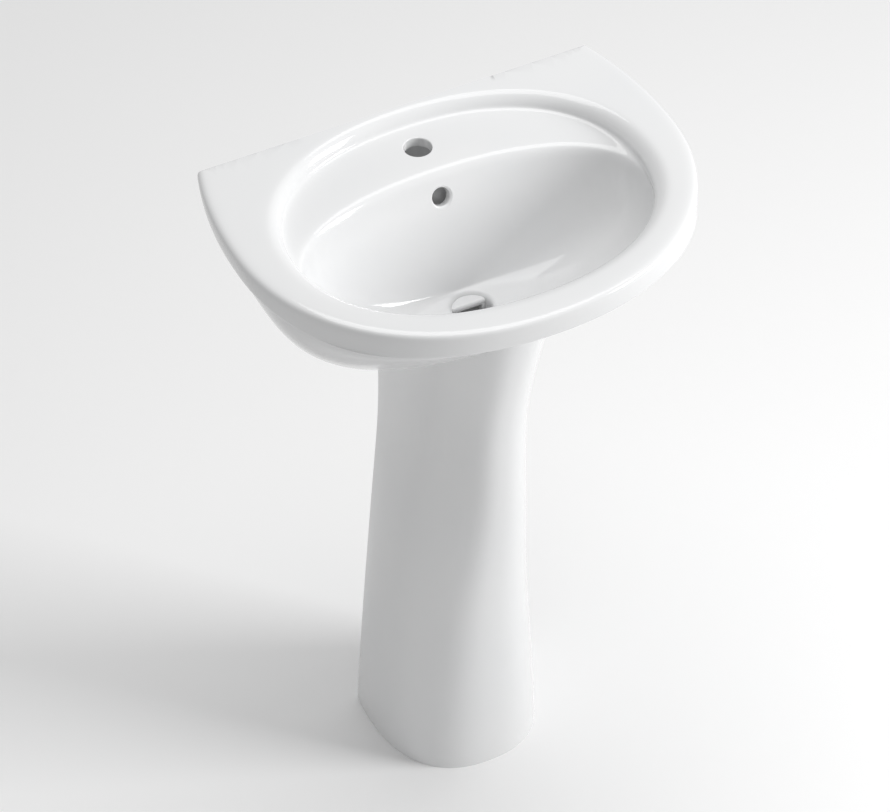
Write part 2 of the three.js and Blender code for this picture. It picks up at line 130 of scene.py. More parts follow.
def pick(test):
    """Selects the points in view whose place passes a test, with the edges and faces between them."""
    bpy.ops.mesh.select_all(action="DESELECT")
    mesh = bmesh.from_edit_mesh(bpy.context.object.data)
    for vertex in mesh.verts:
        vertex.select_set(not vertex.hide and test(vertex.co))
    mesh.select_flush(True)
    bmesh.update_edit_mesh(bpy.context.object.data)


def finish_with(piece, kind, **settings):
    """Adds a modifier to a piece and applies it."""
    make_active(piece)
    modifier = piece.modifiers.new(kind.title(), kind)
    for name, value in settings.items():
        setattr(modifier, name, value)
    bpy.ops.object.modifier_apply(modifier=modifier.name)


def shape_with(piece, operation, *tools):
    """Cuts tools out of a piece, joins them to it, or keeps what it shares with them.
    The tools are used up."""
    for tool in tools:
        finish_with(piece, "BOOLEAN", operation=operation, object=tool, solver="EXACT")
        bpy.data.objects.remove(tool)


def turned(name, profile, steps=48, closed=True):
    """A piece turned about the Y axis from [radius, y] points, drawn by extruding a point along them."""
    bpy.ops.object.select_all(action="DESELECT")
    bpy.ops.mesh.primitive_plane_add()
    piece = bpy.context.object
    piece.name = name
    bpy.ops.object.mode_set(mode="EDIT")
    bpy.ops.mesh.select_mode(type="VERT")
    bpy.ops.mesh.merge(type="CENTER")
    spots = [Vector((0, y * MM, radius * MM)) for radius, y in profile]
    bpy.ops.transform.translate(value=spots[0])
    for here, there in zip(spots, spots[1:]):
        bpy.ops.mesh.extrude_region_move(TRANSFORM_OT_translate={"value": there - here})
    bpy.ops.mesh.select_all(action="SELECT")
    bpy.ops.mesh.spin(steps=steps, angle=math.tau, center=(0, 0, 0), axis=(0, 1, 0))
    bpy.ops.mesh.select_all(action="SELECT")
    bpy.ops.mesh.remove_doubles(threshold=1e-6)
    bpy.ops.mesh.normals_make_consistent(inside=False)
    bpy.ops.object.mode_set(mode="OBJECT")
    return piece


def ring_profile(hole, outer, start, end, r):
    """The closed profile of a ring whose outer corners are rounded over with a radius."""
    return [
        (hole, start + r / 2), (hole + r / 2, start), (outer - r, start), (outer - r * 0.3, start + r * 0.3),
        (outer, start + r), (outer, end - r), (outer - r * 0.3, end - r * 0.3), (outer - r, end),
        (hole + r / 2, end), (hole, end - r / 2), (hole, start + r / 2),
    ]


def block(name, low, high, rounding=0, upright_only=False):
    """A block between two corners, given as across, reach and depth, with its edges rounded."""
    corner = Vector((low[0] * MM, WALL - high[1] * MM, DECK - high[2] * MM))
    size = Vector([(b - a) * MM for a, b in zip(low, high)])
    bpy.ops.object.select_all(action="DESELECT")
    bpy.ops.mesh.primitive_cube_add(size=1, location=corner + size / 2, scale=size)
    piece = bpy.context.object
    piece.name = name
    bpy.ops.object.transform_apply(location=True, rotation=True, scale=True)
    if rounding:
        bpy.ops.object.mode_set(mode="EDIT")
        bpy.ops.mesh.select_mode(type="EDGE")
        bpy.ops.mesh.select_all(action="DESELECT")
        mesh = bmesh.from_edit_mesh(piece.data)
        for edge in mesh.edges:
            run = edge.verts[0].co - edge.verts[1].co
            edge.select_set(abs(run.z) > abs(run.x) + abs(run.y) or not upright_only)
        bmesh.update_edit_mesh(piece.data)
        bpy.ops.mesh.bevel(offset=rounding * MM, segments=5)
        bpy.ops.object.mode_set(mode="OBJECT")
    return piece


def move_to_stud(piece, across):
    """Puts a piece made about the Y axis on the axis of a stud, with its place in its mesh."""
    make_active(piece)
    piece.location = (across * MM, WALL, DECK - STUD_DEPTH * MM)
    bpy.ops.object.transform_apply(location=True, rotation=True, scale=True)


def hand_over(piece, cad_node, finish, angle=35):
    """Gives a finished piece its material and its place in the frame."""
    make_active(piece)
    bpy.ops.object.shade_smooth_by_angle(angle=math.radians(angle))
    if finish:
        piece.data.materials.clear()
        piece.data.materials.append(finish)
    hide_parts(cad_node)
    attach(piece, "root")


def copy_of(piece, name):
    """A copy of a piece with its own mesh."""
    copy = piece.copy()
    copy.data = piece.data.copy()
    copy.name = name
    bpy.context.collection.objects.link(copy)
    return copy


def fit_both_sides(piece, fixing, slot, finish, angle=35):
    """Puts a fixing made about the Y axis on the left stud's axis, and a copy of it on the right's."""
    twin = copy_of(piece, piece.name)
    for made, (side, across) in zip((piece, twin), SIDES.items()):
        made.name = f"{fixing}_{side}_{slot}"
        move_to_stud(made, across)
        hand_over(made, f"{fixing}_{side}", finish, angle)


plug_profile = [
    (STUD_RADIUS + CLEARANCE, 1), (STUD_RADIUS + CLEARANCE + 0.7, CLEARANCE),
    (6.5, CLEARANCE), (7, 0.8), (7, 9),
]
for barb in range(12, 48, 6):
    plug_profile += [(6.1, barb), (6.1, barb + 2), (7, barb + 3.2), (7, barb + 4)]
plug_profile += [(6.4, 52), (5.8, 58), (STUD_RADIUS + CLEARANCE, 58), (STUD_RADIUS + CLEARANCE, 1)]
grey_nylon = moulded_nylon("moulded_grey_nylon", "#8d9195", "#a3a7aa")
plug = turned("plug", plug_profile)
spreading_slot = block("slot_tool", (-1, -66, -10), (1, -22, 10))
spreading_slot.location = (0, -WALL, -DECK)
shape_with(plug, "DIFFERENCE", spreading_slot)
fit_both_sides(plug, "wall_plug", "grey_nylon", grey_nylon)

# ---- Wall studs ----
# Hanger bolts of zinc-plated steel, with a coarse screw thread that bites the plug at one end and
# a rolled M10 thread for the basin's nut at the other. They are screwed into the plugs first.


def zinc_plate():
    """Bright zinc plate: a pale blue-grey metal, faintly clouded, with drawn and rolled marks."""
    made, tree, shader, place = material("bright_zinc_plated_steel")
    cloud = node(tree, "ShaderNodeTexNoise", {"Vector": place, "Scale": per_mm(4), "Detail": 4.0})
    tone = node(tree, "ShaderNodeMix", {
        "Factor": cloud.outputs["Fac"], "A": srgb("#aab0b4"), "B": srgb("#d2d3cf"),
    }, data_type="RGBA")
    dull = node(tree, "ShaderNodeMapRange", {"Value": cloud.outputs["Fac"], "To Min": 0.24, "To Max": 0.42})
    marks = node(tree, "ShaderNodeTexNoise", {"Vector": place, "Scale": per_mm(0.5)})
    bump = node(tree, "ShaderNodeBump", {
        "Height": marks.outputs["Fac"], "Strength": 0.15, "Distance": 0.05 * MM,
    })
    tree.links.new(tone.outputs["Result"], shader.inputs["Base Color"])
    tree.links.new(dull.outputs["Result"], shader.inputs["Roughness"])
    tree.links.new(bump.outputs["Normal"], shader.inputs["Normal"])
    shader.inputs["Metallic"].default_value = 1
    return made


def slice_off(piece, place, facing):
    """Cuts a piece at a plane and drops what is beyond it, and closes the cut."""
    make_active(piece)
    bpy.ops.object.mode_set(mode="EDIT")
    bpy.ops.mesh.select_all(action="SELECT")
    bpy.ops.mesh.bisect(plane_co=place, plane_no=facing, use_fill=True, clear_outer=True)
    bpy.ops.object.mode_set(mode="OBJECT")


def threaded(name, core, outer, pitch, start, end, crest=0.2):
    """A thread about the Y axis: one tooth's flanks screwed along, and both ends cut square."""
    bpy.ops.object.select_all(action="DESELECT")
    bpy.ops.mesh.primitive_plane_add()
    piece = bpy.context.object
    piece.name = name
    bpy.ops.object.mode_set(mode="EDIT")
    bpy.ops.mesh.select_mode(type="VERT")
    bpy.ops.mesh.merge(type="CENTER")
    rise = (1 - crest) / 2
    steps = ((outer - core, rise), (0, crest), (core - outer, rise))
    bpy.ops.transform.translate(value=(0, (start - 2 * pitch) * MM, core * MM))
    for out, along in steps:
        bpy.ops.mesh.extrude_region_move(TRANSFORM_OT_translate={"value": (0, along * pitch * MM, out * MM)})
    bpy.ops.object.mode_set(mode="OBJECT")
    turns = math.ceil((end - start) / pitch) + 4
    finish_with(
        piece, "SCREW", axis="Y", angle=math.tau, screw_offset=pitch * MM, iterations=turns,
        steps=24, render_steps=24,
    )
    bpy.ops.object.mode_set(mode="EDIT")
    bpy.ops.mesh.select_all(action="SELECT")
    bpy.ops.mesh.remove_doubles(threshold=1e-5)
    bpy.ops.mesh.normals_make_consistent(inside=False)
    bpy.ops.object.mode_set(mode="OBJECT")
    slice_off(piece, (0, end * MM, 0), (0, 1, 0))
    slice_off(piece, (0, start * MM, 0), (0, -1, 0))
    make_active(piece)
    bpy.ops.object.mode_set(mode="EDIT")
    bpy.ops.mesh.select_all(action="SELECT")
    bpy.ops.mesh.normals_make_consistent(inside=False)
    bpy.ops.object.mode_set(mode="OBJECT")
    return piece


STUD_INSIDE, STUD_IN_WALL = 46, 52
zinc = zinc_plate()
stud = turned("stud", [(0, -7), (4.4, -7), (5, -6), (5, 5), (4.4, 6), (4.1, 8), (0, 8)])
shape_with(
    stud, "UNION",
    threaded("machine_thread", 4.2, STUD_RADIUS, 1.5, -STUD_INSIDE, -6.5),
    threaded("wood_thread", 3.8, STUD_RADIUS, 4, 7, STUD_IN_WALL - 8, crest=0.1),
    turned("point", [
        (0, STUD_IN_WALL - 9), (3.7, STUD_IN_WALL - 9), (3.3, STUD_IN_WALL - 6), (0, STUD_IN_WALL),
    ]),
)
fit_both_sides(stud, "wall_stud", "zinc_steel", zinc)

# ---- Pedestal ----
# A hollow column of vitreous china, slip-cast in one piece with its back left open, and glazed all
# over but for the sole it stands on. Two lugs inside the foot take the floor screws. It hides the
# trap and carries the front of the basin, so its top edge follows the basin's belly.

HOOP_POINTS = 64
FOOT_HALF, FOOT_FRONT = 102, 247
WAIST_HALF, WAIST_FRONT, WAIST_HEIGHT = 66, 272, 480
HEAD_HALF, HEAD_FRONT, HEAD_HEIGHT = 86, 326, 780
FLARE_HEIGHT = 210
PEDESTAL_WALL = 11
PEDESTAL_OPEN_BACK = 76  # where the back is left open
PEDESTAL_WIDEST = 123
PEDESTAL_SQUARENESS = 2.4
LUG_LENGTH, LUG_WIDTH, LUG_THICKNESS, LUG_HOLE = 42, 34, 16, 11

BODY_HALF, BODY_BACK, BODY_WIDEST, BODY_FRONT = 258, -70, 170, 381
BODY_TOP, BODY_BOTTOM, BODY_FLOOR = 36, 167, 43
BODY_SQUARENESS = 2.6
WASTE = 193  # the waste hole's centre
CHINA = 12
BEAD_THICKNESS = 3


def glazed_china():
    """Vitreous china under a clear white glaze: pale and even, with a wet gloss whose reflections
    waver a little, because the glaze ran before it set, and a faint greyer cast where it lies thick."""
    made, tree, shader, place = material("white_glazed_vitreous_china")
    pooled = node(tree, "ShaderNodeTexNoise", {"Vector": place, "Scale": per_mm(140), "Detail": 2.0})
    tone = node(tree, "ShaderNodeMix", {
        "Factor": pooled.outputs["Fac"], "A": srgb("#e2e3e4"), "B": srgb("#e7e7e7"),
    }, data_type="RGBA")
    sheen = node(tree, "ShaderNodeTexNoise", {"Vector": place, "Scale": per_mm(35), "Detail": 3.0})
    dull = node(tree, "ShaderNodeMapRange", {"Value": sheen.outputs["Fac"], "To Min": 0.045, "To Max": 0.1})
    run = node(tree, "ShaderNodeTexNoise", {"Vector": place, "Scale": per_mm(28), "Detail": 1.0})
    peel = node(tree, "ShaderNodeTexNoise", {"Vector": place, "Scale": per_mm(3.5), "Detail": 0.0})
    waver = node(tree, "ShaderNodeBump", {
        "Height": run.outputs["Fac"], "Strength": 0.6, "Distance": 0.25 * MM,
    })
    skin = node(tree, "ShaderNodeBump", {
        "Height": peel.outputs["Fac"], "Strength": 0.25, "Distance": 0.02 * MM,
        "Normal": waver.outputs["Normal"],
    })
    tree.links.new(tone.outputs["Result"], shader.inputs["Base Color"])
    tree.links.new(dull.outputs["Result"], shader.inputs["Roughness"])
    tree.links.new(skin.outputs["Normal"], shader.inputs["Normal"])
    shader.inputs["IOR"].default_value = 1.5
    return made


def bare_china():
    """Fired body without glaze: a chalky cream, speckled by the grog in the clay, and quite matt."""
    made, tree, shader, place = material("unglazed_fired_china")
    speck = node(tree, "ShaderNodeTexNoise", {"Vector": place, "Scale": per_mm(1.8), "Detail": 5.0})
    tone = node(tree, "ShaderNodeMix", {
        "Factor": speck.outputs["Fac"], "A": srgb("#cfc8bb"), "B": srgb("#e6e1d6"),
    }, data_type="RGBA")
    bump = node(tree, "ShaderNodeBump", {
        "Height": speck.outputs["Fac"], "Strength": 0.4, "Distance": 0.15 * MM,
    })
    tree.links.new(tone.outputs["Result"], shader.inputs["Base Color"])
    tree.links.new(bump.outputs["Normal"], shader.inputs["Normal"])
    shader.inputs["Roughness"].default_value = 0.85
    return made


def mix(a, b, share):
    return a + (b - a) * share


def taper(share, power):
    """How much of its reach a curved wall keeps at a share of its depth."""
    return max(1 - share ** power, 0) ** (1 / power)


def add_hoop(half, back, widest, front, depth, front_depth=None, squareness=2.0):
    """A hoop: a square bevelled right round, drawn out to its reaches and tipped to its depths."""
    profile = 2 ** (-2 / squareness)
    bpy.ops.mesh.primitive_plane_add(size=2)
    bpy.ops.mesh.bevel(offset=1, segments=HOOP_POINTS // 4, profile=profile, affect="VERTICES")
    bpy.ops.mesh.remove_doubles(threshold=1e-4)
    bpy.ops.mesh.delete(type="ONLY_FACE")
    pick(lambda point: point.y > 1e-5)
    bpy.ops.transform.resize(value=(1, (widest - back) * MM, 1), center_override=(0, 0, 0))
    pick(lambda point: point.y < -1e-5)
    bpy.ops.transform.resize(value=(1, (front - widest) * MM, 1), center_override=(0, 0, 0))
    bpy.ops.mesh.select_all(action="SELECT")
    bpy.ops.transform.resize(value=(half * MM, 1, 1), center_override=(0, 0, 0))
    slope = 0 if front_depth is None else (front_depth - depth) / (front - back)
    middle = WALL - widest * MM, DECK - (depth + slope * (widest - back)) * MM
    bpy.ops.transform.translate(value=(0, *middle))
    bpy.ops.transform.rotate(value=-math.atan(slope), orient_axis="X", center_override=(0, *middle))
    bpy.ops.object.vertex_group_assign_new()
    bpy.ops.mesh.hide()


def pick_hoops(*rows):
    bpy.ops.mesh.select_all(action="DESELECT")
    for row in rows:
        bpy.context.object.vertex_groups.active_index = row
        bpy.ops.object.vertex_group_select()


def skin_over(name, hoops, ring=False):
    """A solid bridged over hoops, each to the next, then subdivided smooth.
    Its ends are filled, or joined to each other to make a ring."""
    bpy.ops.object.select_all(action="DESELECT")
    bpy.ops.mesh.primitive_plane_add()
    piece = bpy.context.object
    piece.name = name
    bpy.ops.object.mode_set(mode="EDIT")
    bpy.ops.mesh.select_mode(type="VERT")
    bpy.ops.mesh.select_all(action="SELECT")
    bpy.ops.mesh.delete(type="VERT")
    for hoop in hoops:
        add_hoop(**hoop)
    bpy.ops.mesh.reveal(select=False)
    rows = len(hoops)
    for row in range(rows if ring else rows - 1):
        pick_hoops(row, (row + 1) % rows)
        bpy.ops.mesh.bridge_edge_loops()
    if not ring:
        for end in (0, rows - 1):
            pick_hoops(end)
            bpy.ops.mesh.edge_face_add()
    bpy.ops.object.vertex_group_remove(all=True)
    bpy.ops.mesh.select_all(action="SELECT")
    bpy.ops.mesh.normals_make_consistent(inside=False)
    bpy.ops.object.mode_set(mode="OBJECT")
    finish_with(piece, "SUBSURF", levels=2, render_levels=2)
    return piece


def belly(grow=0, drop=0):
    """The hoops of the basin's belly, from its floor up, grown all over or moved down."""
    hoops = []
    for share in (1, 0.98, 0.93, 0.85, 0.74, 0.6, 0.44, 0.28, 0.14, 0):
        side = taper(share, 2.2)
        floor = BODY_FLOOR + grow
        hoops.append(dict(
            half=mix(floor, BODY_HALF + grow, side),
            back=mix(WASTE - floor, BODY_BACK - grow, taper(share, 2)),
            widest=mix(WASTE, BODY_WIDEST, side),
            front=mix(WASTE + floor, BODY_FRONT + grow, taper(share, 1.12)),
            depth=mix(BODY_TOP, BODY_BOTTOM + grow, share) + drop,
            squareness=BODY_SQUARENESS,
        ))
    return hoops


def belly_solid(grow=0, drop=0, top=10):
    hoops = belly(grow, drop)
    hoops.append({**hoops[-1], "depth": top})
    return skin_over("belly_tool", hoops)


def column(inward):
    """The hoops of the pedestal from under its foot up, moved in from its face."""
    hoops = []
    for height in (-30, 0, 45, 95, 150, 210, 275, 340, 405, 470, 530, 590, 645, 695, 740, 780, 800):
        rise = min(max(height / WAIST_HEIGHT, 0), 1)
        flare = max((height - HEAD_HEIGHT + FLARE_HEIGHT) / FLARE_HEIGHT, 0)
        swing = max(rise * 2 - 1, 0)
        swell = swing * swing * (3 - 2 * swing)
        half = mix(FOOT_HALF, WAIST_HALF, rise ** 1.15) + (HEAD_HALF - WAIST_HALF) * flare ** 1.5
        front = mix(FOOT_FRONT, WAIST_FRONT, swell) + (HEAD_FRONT - WAIST_FRONT) * flare ** 1.15
        hoops.append(dict(
            half=half - inward, back=inward, widest=PEDESTAL_WIDEST, front=front - inward,
            depth=DECK / MM - height, squareness=PEDESTAL_SQUARENESS,
        ))
    return hoops


def paint_bare(piece, test):
    """Leaves the glaze off the faces whose middle and normal pass a test."""
    make_active(piece)
    piece.data.materials.append(unglazed)
    for face in piece.data.polygons:
        if test(face.center, face.normal):
            face.material_index = 1


glazed, unglazed = glazed_china(), bare_china()
pedestal = skin_over("pedestal_china", column(0))
lug_limit = skin_over("lug_limit", column(1))
shape_with(pedestal, "DIFFERENCE", skin_over("hollow_tool", column(PEDESTAL_WALL)))
slice_off(pedestal, (0, WALL - PEDESTAL_OPEN_BACK * MM, 0), (0, 1, 0))
slice_off(pedestal, (0, 0, HEAD_HEIGHT * MM), (0, 0, 1))
bead = copy_of(pedestal, "seat_bead_silicone")
shape_with(pedestal, "DIFFERENCE", belly_solid(drop=CLEARANCE * 2 + BEAD_THICKNESS))
floor_depth = DECK / MM
for side in (-1, 1):
    inner, outer = FOOT_HALF - LUG_WIDTH, FOOT_HALF
    low, high = sorted((side * inner, side * outer))
    lug = block(
        "lug", (low, PEDESTAL_OPEN_BACK + 1, floor_depth - LUG_THICKNESS),
        (high, PEDESTAL_OPEN_BACK + LUG_LENGTH, floor_depth + 8), rounding=3, upright_only=True,
    )
    shape_with(lug, "INTERSECT", copy_of(lug_limit, "lug_limit_tool"))
    shape_with(pedestal, "UNION", lug)
bpy.data.objects.remove(lug_limit)
floor_tool = block("floor_tool", (-300, -100, floor_depth), (300, 400, floor_depth + 60))
shape_with(pedestal, "DIFFERENCE", floor_tool)
finish_with(pedestal, "BEVEL", width=2 * MM, segments=3, limit_method="ANGLE", angle_limit=math.radians(50))
for side in (-1, 1):
    bpy.ops.object.select_all(action="DESELECT")
    spot = side * (FOOT_HALF - LUG_WIDTH * 2 / 3) * MM, WALL - (PEDESTAL_OPEN_BACK + LUG_LENGTH / 2) * MM
    bpy.ops.mesh.primitive_cylinder_add(
        vertices=40, radius=LUG_HOLE / 2 * MM, depth=60 * MM, location=(*spot, 0),
    )
    shape_with(pedestal, "DIFFERENCE", bpy.context.object)
hand_over(pedestal, "pedestal", glazed)
paint_bare(pedestal, lambda middle, normal: middle.z < 0.5 * MM and normal.z < -0.9)

# ---- Seat bead ----
# A bead of white silicone rubber, gunned along the pedestal's top edge before the basin is lowered
# on it. It takes up the castings' unevenness, and its faces are drawn in where it is smoothed.


def silicone_rubber():
    """Sanitary silicone: a soft off-white that light sinks into a little, with a finger-smoothed skin."""
    made, tree, shader, place = material("white_silicone_rubber")
    smear = node(tree, "ShaderNodeTexNoise", {"Vector": place, "Scale": per_mm(9), "Detail": 2.0})
    tone = node(tree, "ShaderNodeMix", {
        "Factor": smear.outputs["Fac"], "A": srgb("#dededa"), "B": srgb("#e8e8e4"),
    }, data_type="RGBA")
    bump = node(tree, "ShaderNodeBump", {
        "Height": smear.outputs["Fac"], "Strength": 0.3, "Distance": 0.2 * MM,
    })
    tree.links.new(tone.outputs["Result"], shader.inputs["Base Color"])
    tree.links.new(bump.outputs["Normal"], shader.inputs["Normal"])
    shader.inputs["Roughness"].default_value = 0.4
    shader.inputs["IOR"].default_value = 1.41
    shader.inputs["Subsurface Weight"].default_value = 0.1
    shader.inputs["Subsurface Radius"].default_value = (2 * MM, 2 * MM, 2 * MM)
    return made


shape_with(bead, "INTERSECT", belly_solid(drop=CLEARANCE + BEAD_THICKNESS))
shape_with(bead, "DIFFERENCE", belly_solid(drop=CLEARANCE))
finish_with(bead, "BEVEL", width=0.8 * MM, segments=2, limit_method="ANGLE", angle_limit=math.radians(50))
hand_over(bead, "seat_bead", silicone_rubber())

# ---- Basin ----
# Vitreous china, slip-cast as a double-walled shell: the bowl, its ledge and the flat rim inside,
# and a full belly outside, with an opening underneath behind the bowl for the fitter's hand. It is
# glazed but for its back, and it hangs on the two studs with its belly on the pedestal.

RIM_HALF, RIM_FRONT, RIM_WIDEST, RIM_PAST_WALL = 275, 400, 152, -193
RIM_SQUARENESS = 2.12
BOWL_FLOOR = 31
LEDGE_DEPTH, BOWL_DEPTH = 18, 152
LEDGE_FRONT = 103
WASTE_RADIUS = 23
TAP_RADIUS, TAP_REACH = 16.5, 57  # the radius under the rounded edge
OVERFLOW_RADIUS, OVERFLOW_DEPTH = 11, 48
CHANNEL_HALF = 17
HAND_OPENING_HALF, HAND_OPENING_FRONT = 165, 70
STUD_HOLE_RADIUS = 8.6
BOWL_SLOPE = (WASTE - BOWL_FLOOR - LEDGE_FRONT) / (BOWL_DEPTH - LEDGE_DEPTH)  # reach gained per step down


def bowl_back(depth):
    """How far the bowl's sloping back is from the wall at a depth."""
    return LEDGE_FRONT + (depth - LEDGE_DEPTH) * BOWL_SLOPE


def round_hoop(radius, depth):
    return dict(half=radius, back=WASTE - radius, widest=WASTE, front=WASTE + radius, depth=depth)


def lining(grow=0):
    """The hoops of the bowl, its ledge and its mouth's wall, from the bowl's floor up. Each has a
    depth at the back and one at the front, so that the ledge runs out into the bowl's sides."""
    hoops = []
    for depths in (
        (152, 152), (149, 149.5), (141, 143), (128, 133), (111, 120),
        (91, 105), (71, 89), (53, 73), (38, 58), (27, 46),
    ):
        back_share, front_share = [(depth - LEDGE_DEPTH) / (BOWL_DEPTH - LEDGE_DEPTH) for depth in depths]
        side = taper(mix(back_share, front_share, 0.4), 2)
        hoops.append(dict(
            half=mix(BOWL_FLOOR, 211, side) + grow, back=bowl_back(depths[0]) - grow,
            widest=mix(WASTE, 205, side),
            front=mix(WASTE + BOWL_FLOOR, 345, taper(front_share, 1.4)) + grow,
            depth=depths[0] + grow, front_depth=depths[1] + grow, squareness=2.25,
        ))
    for half, back, widest, front, back_depth, front_depth in (
        (211, 102, 204, 346, 21.5, 38),
        (212, 97, 202, 346.5, 18.6, 33),
        (213, 60, 192, 347, 18.2, 27),
        (214, 26, 184, 347.5, 18, 22),
        (215, 18.5, 182.5, 348, 16.5, 18),
        (215, 17, 182.5, 348, 12, 13),
    ):
        hoops.append(dict(
            half=half + grow, back=back - grow, widest=widest, front=front + grow,
            depth=back_depth + grow, front_depth=front_depth + grow, squareness=2.22,
        ))
    return hoops


def mouth():
    """The rounded edge from the mouth's wall out to the deck."""
    return [
        dict(
            half=215 + spread, back=17 - spread * 0.8, widest=182.5, front=348 + spread,
            depth=depth, squareness=2.2,
        )
        for spread, depth in ((6, 4.2), (14, 0.8), (22, 0.3))
    ]


def rim():
    """The deck's outer edge and the band under it. Lower down, the band draws in at the front and
    the sides but stays flush with the belly at its four shoulders."""
    hoops = [
        dict(
            half=RIM_HALF - inset, back=RIM_PAST_WALL, widest=RIM_WIDEST, front=RIM_FRONT - inset,
            depth=depth, squareness=RIM_SQUARENESS,
        )
        for inset, depth in ((18, 0), (7, 0), (1.8, 1.8), (0, 7))
    ]
    shoulder = RIM_HALF * 2 ** (-1 / RIM_SQUARENESS)
    last = RIM_HALF - BODY_HALF
    for inset, back_depth, front_depth in (
        (0.8, 20, 20), (2, 26, 27.5), (3.2, 28.8, 31), (6.5, 29.6, 32.3), (15, 30, 32.8),
    ):
        hoops.append(dict(
            half=RIM_HALF - inset, back=mix(RIM_PAST_WALL, BODY_BACK, inset / last),
            widest=mix(RIM_WIDEST, BODY_WIDEST, inset / last), front=RIM_FRONT - inset,
            depth=back_depth, front_depth=front_depth,
            squareness=1 / math.log2((RIM_HALF - inset) / shoulder),
        ))
    return hoops


def leaning_block(half, rear, fore, top, bottom):
    """A block that leans with the bowl's back, a distance behind it."""
    piece = block("leaning_block", (-half, 0, top), (half, 1, bottom))
    make_active(piece)
    bpy.ops.object.mode_set(mode="EDIT")
    for depth in (top, bottom):
        for behind, first in ((rear, 0), (fore, 1)):
            level = DECK - depth * MM
            pick(lambda point: abs(point.z - level) < 1e-5 and abs(point.y - WALL + first * MM) < 1e-5)
            bpy.ops.transform.translate(value=(0, -(bowl_back(depth) - behind - first) * MM, 0))
    bpy.ops.object.mode_set(mode="OBJECT")
    return piece


def hole_tool(radius, rounding, length, reach, depth, lean):
    """A cutter for a hole whose edge is rounded over: a cylinder flared out by steps at its mouth."""
    bpy.ops.object.select_all(action="DESELECT")
    bpy.ops.mesh.primitive_cylinder_add(vertices=64, radius=radius * MM, depth=length * MM)
    tool = bpy.context.object
    bpy.ops.object.mode_set(mode="EDIT")
    bpy.ops.mesh.select_all(action="SELECT")
    bpy.ops.transform.translate(value=(0, 0, -(length / 2 + rounding) * MM))
    pick(lambda point: point.z > -(length / 2) * MM)
    steps = 6
    last_radius, last_height = radius, -rounding
    for step in range(1, steps + 1):
        angle = step / steps * math.pi / 2
        wide = radius + rounding * (1 - math.cos(angle))
        height = rounding * (math.sin(angle) - 1)
        rise = (0, 0, (height - last_height) * MM)
        bpy.ops.mesh.extrude_region_move(TRANSFORM_OT_translate={"value": rise})
        bpy.ops.transform.resize(value=(wide / last_radius, wide / last_radius, 1), center_override=(0, 0, 0))
        last_radius, last_height = wide, height
    bpy.ops.mesh.extrude_region_move(TRANSFORM_OT_translate={"value": (0, 0, 6 * MM)})
    bpy.ops.object.mode_set(mode="OBJECT")
    tool.rotation_euler = (lean, 0, 0)
    tool.location = (0, WALL - reach * MM, DECK - depth * MM)
    return tool


def stud_hole_tool(across):
    tool = turned("stud_hole_tool", [
        (0, -CHINA * 2), (STUD_HOLE_RADIUS, -CHINA * 2), (STUD_HOLE_RADIUS, CHINA), (0, CHINA),
    ])
    move_to_stud(tool, across)
    return tool


hoops = [
    round_hoop(r, d)
    for r, d in ((WASTE_RADIUS, 168), (WASTE_RADIUS, 160), (23.6, 156), (25.6, 153.6), (28, 152.4))
]
hoops += lining() + mouth() + rim()
hoops += [{**belly()[-1], "depth": 31, "front_depth": 34}, {**belly()[-1], "depth": 37, "front_depth": 39}]
hoops += belly()[-2::-1]
hoops += [
    round_hoop(r, d)
    for r, d in (
        (37.5, 169), (36, 174), (36, 183), (34.6, 185.6),
        (32, 186), (26, 186), (24, 185.5), (WASTE_RADIUS, 183),
    )
]
basin = skin_over("basin_china", hoops, ring=True)
shape_with(basin, "INTERSECT", block("rear_edge_tool", (-300, 0, -0.1), (300, 420, 200), rounding=2.5))

hollow = belly_solid(grow=-CHINA, top=13.5)
slice_off(hollow, (0, WALL - CHINA * MM, 0), (0, 1, 0))
hand_opening = block(
    "hand_opening_tool", (-HAND_OPENING_HALF, CHINA + 0.5, 45), (HAND_OPENING_HALF, HAND_OPENING_FRONT, 175),
    rounding=16, upright_only=True,
)
shape_with(hollow, "UNION", hand_opening)
bowl_shell = lining(CHINA)
bowl_shell.append({**bowl_shell[-1], "depth": 5, "front_depth": 5})
shape_with(hollow, "DIFFERENCE", skin_over("bowl_shell", bowl_shell))
shape_with(hollow, "DIFFERENCE", leaning_block(CHANNEL_HALF + 6, CHINA + 18, CHINA - 6, 28, 156))
shape_with(basin, "DIFFERENCE", hollow)
# the channel's foot runs on across the rear of the waste hole, which it partly covers
shape_with(basin, "UNION", block("channel_housing", (-23, 131, 157), (23, 185, 182), rounding=4))
shape_with(
    basin, "DIFFERENCE",
    leaning_block(CHANNEL_HALF, CHINA + 12, CHINA, 34, 160),
    block("channel_foot_tool", (-CHANNEL_HALF, 137, 163), (CHANNEL_HALF, WASTE, 176)),
    hole_tool(OVERFLOW_RADIUS, 2.5, 14, bowl_back(OVERFLOW_DEPTH), OVERFLOW_DEPTH, math.atan2(1, BOWL_SLOPE)),
    hole_tool(TAP_RADIUS, 1.5, 30, TAP_REACH, LEDGE_DEPTH + 0.15, 0),
    stud_hole_tool(-STUD_ACROSS), stud_hole_tool(STUD_ACROSS),
)
hand_over(basin, "basin", glazed)
finish_with(basin, "WEIGHTED_NORMAL", keep_sharp=True)  # keeps the flat deck's shading flat up to its edges
paint_bare(basin, lambda middle, normal: middle.y > WALL - 0.5 * MM and normal.y > 0.9)

# ---- Sleeves, washers and nuts ----
# A flanged bush of white nylon centres each stud in its hole in the china, and a zinc-plated washer
# and hexagon nut are drawn up against it from inside the basin, with a spanner.

